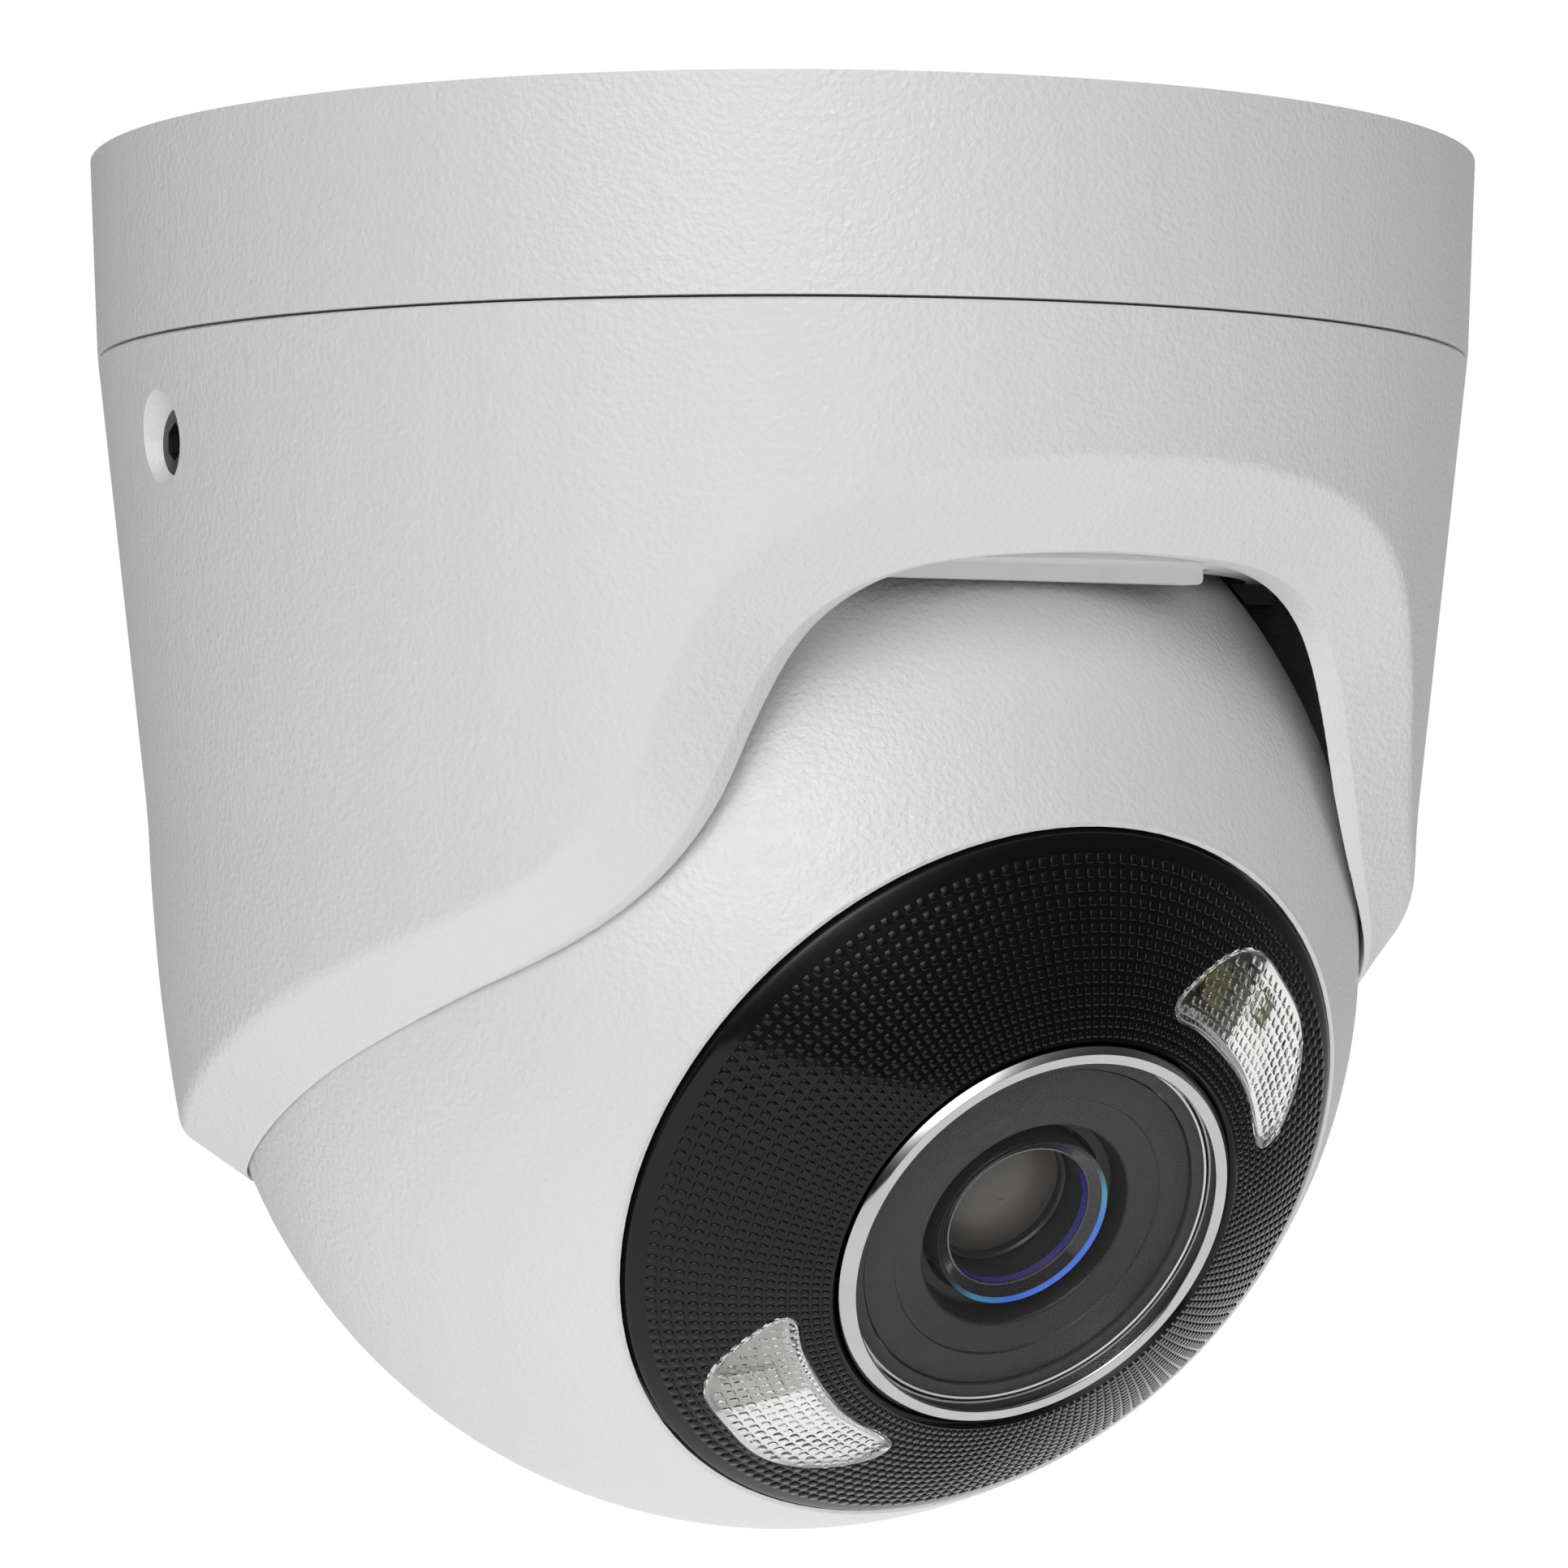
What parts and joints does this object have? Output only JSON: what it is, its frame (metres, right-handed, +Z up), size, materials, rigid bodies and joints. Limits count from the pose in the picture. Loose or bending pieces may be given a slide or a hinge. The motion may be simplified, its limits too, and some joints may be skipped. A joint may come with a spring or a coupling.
{
  "type": "turret dome camera",
  "caption": "Ceiling turret camera: round base and turning housing with an arched opening, holding a ball head with a black ringed lens, lamp windows and inner boards.",
  "frame": {"origin": "centre of the ceiling face, at the top of the base", "axes": "+Z up out of the ceiling face, the camera hangs towards -Z; the lens looks towards -Y and down"},
  "size_m": [0.11, 0.11, 0.1081],
  "materials": {
    "shell_white": "fine leather-grain light grey-white powder finish",
    "inner_white": "smooth satin white moulded plastic",
    "plate_steel": "zinc plated pressed steel",
    "screw_steel": "machined steel",
    "spring_steel": "blued spring steel",
    "black_rubber": "matt moulded rubber",
    "grey_foam": "closed-cell foam",
    "seam_seal": "pale silicone",
    "friction_pom": "low-wear acetal",
    "brass": "turned brass",
    "lock_steel": "black oxide steel",
    "cup_white": "fine leather-grain light grey-white powder finish",
    "bezel_black": "black satin moulded plastic with fine raised pads",
    "window_clear": "clear polycarbonate with fine raised pads",
    "reflector": "aluminised plastic",
    "led_ceramic": "white package with yellow phosphor and clear dome",
    "trim_chrome": "polished chrome",
    "lens_glass": "coated optical glass",
    "front_glass": "clear flat cover glass",
    "shroud_grey": "dark grey anti-glare plastic",
    "barrel_black": "black anodised aluminium",
    "holder_black": "black moulded plastic",
    "board_green": "green solder mask",
    "board_white": "white solder mask",
    "chip_black": "moulded chip package",
    "heat_alu": "bare die-cast aluminium",
    "pad_blue": "thermal gap pad",
    "sensor_dark": "sensor under cover glass",
    "filter_glass": "infrared-cut filter glass in its carrier",
    "coil_black": "moulded actuator body",
    "socket_metal": "stamped steel shell"
  },
  "bodies": {
    "base": {"base_ring": "shell_white", "mount_plate": "plate_steel", "mounting_gasket": "grey_foam", "cable_grommet": "black_rubber", "base_screws": "screw_steel"},
    "housing": {"housing_shell": "shell_white", "ball_retainer": "shell_white", "front_wiper": "inner_white", "friction_ring": "friction_pom", "retainer_screws": "screw_steel", "pan_snap_ring": "spring_steel", "pan_seal": "black_rubber", "trunnion_bushes": "friction_pom", "trunnion_keepers": "cup_white", "lock_insert": "brass"},
    "lock_pad_body": {"lock_pad": "brass"},
    "lock_screw_body": {"lock_screw": "lock_steel"},
    "cradle": {"rear_cup": "cup_white", "cup_grommet": "black_rubber"},
    "filter_slider": {"ir_cut_slider": "filter_glass"},
    "reset_key": {"reset_button": "inner_white"},
    "head": {"ball_front_shell": "shell_white", "card_door": "shell_white", "roll_seal": "seam_seal", "head_back_plate": "heat_alu", "roll_retainer": "friction_pom", "back_gland": "black_rubber", "roll_screws": "screw_steel", "shell_screws": "screw_steel", "front_bezel": "bezel_black", "window_right": "window_clear", "window_left": "window_clear", "window_seals": "black_rubber", "reflector_right": "reflector", "reflector_left": "reflector", "led_emitters": "led_ceramic", "led_board": "board_white", "trim_ring": "trim_chrome", "front_glass": "front_glass", "glass_seal": "black_rubber", "lens_shroud": "shroud_grey", "lens_barrel": "barrel_black", "lens_front_element": "lens_glass", "lens_rear_element": "lens_glass", "lens_retaining_ring": "barrel_black", "heat_sink": "heat_alu", "thermal_pad": "pad_blue", "main_board": "board_green", "main_chips": "chip_black", "board_standoffs": "brass", "sensor_board": "board_green", "board_screws": "screw_steel", "image_sensor": "sensor_dark", "lens_holder": "holder_black", "ir_cut_frame": "holder_black", "ir_cut_coil": "coil_black", "card_socket": "socket_metal", "microphone": "socket_metal"}
  },
  "joints": [
    {"name": "pan", "type": "hinge", "parent": "base", "child": "housing", "pos_m": [0, 0, -0.0234], "axis": [0, 0, 1], "range_deg": [-180, 180]},
    {"name": "tilt", "type": "hinge", "parent": "housing", "child": "cradle", "pos_m": [0, 0, -0.0622], "axis": [1, 0, 0], "range_deg": [-18, 58]},
    {"name": "roll", "type": "hinge", "parent": "cradle", "child": "head", "pos_m": [0, 0, -0.0622], "axis": [0, -0.8813, -0.4726], "range_deg": [-180, 180]},
    {"name": "lock_travel", "type": "slide", "parent": "housing", "child": "lock_pad_body", "axis": [1, 0, 0], "range_m": [0, 0.0006]},
    {"name": "lock_turn", "type": "hinge", "parent": "lock_pad_body", "child": "lock_screw_body", "pos_m": [-0.0515, 0, -0.0234], "axis": [1, 0, 0], "range_deg": [0, 270]},
    {"name": "filter_shift", "type": "slide", "parent": "head", "child": "filter_slider", "axis": [1, 0, 0], "range_m": [0, 0.006]},
    {"name": "reset_press", "type": "slide", "parent": "head", "child": "reset_key", "axis": [0, -0.4726, 0.8813], "range_m": [0, 0.0003], "stiffness_N_per_m": 400}
  ],
  "couplings": [
    {"joint": "lock_turn", "follows": "lock_travel", "rad_per_m": 7854}
  ]
}
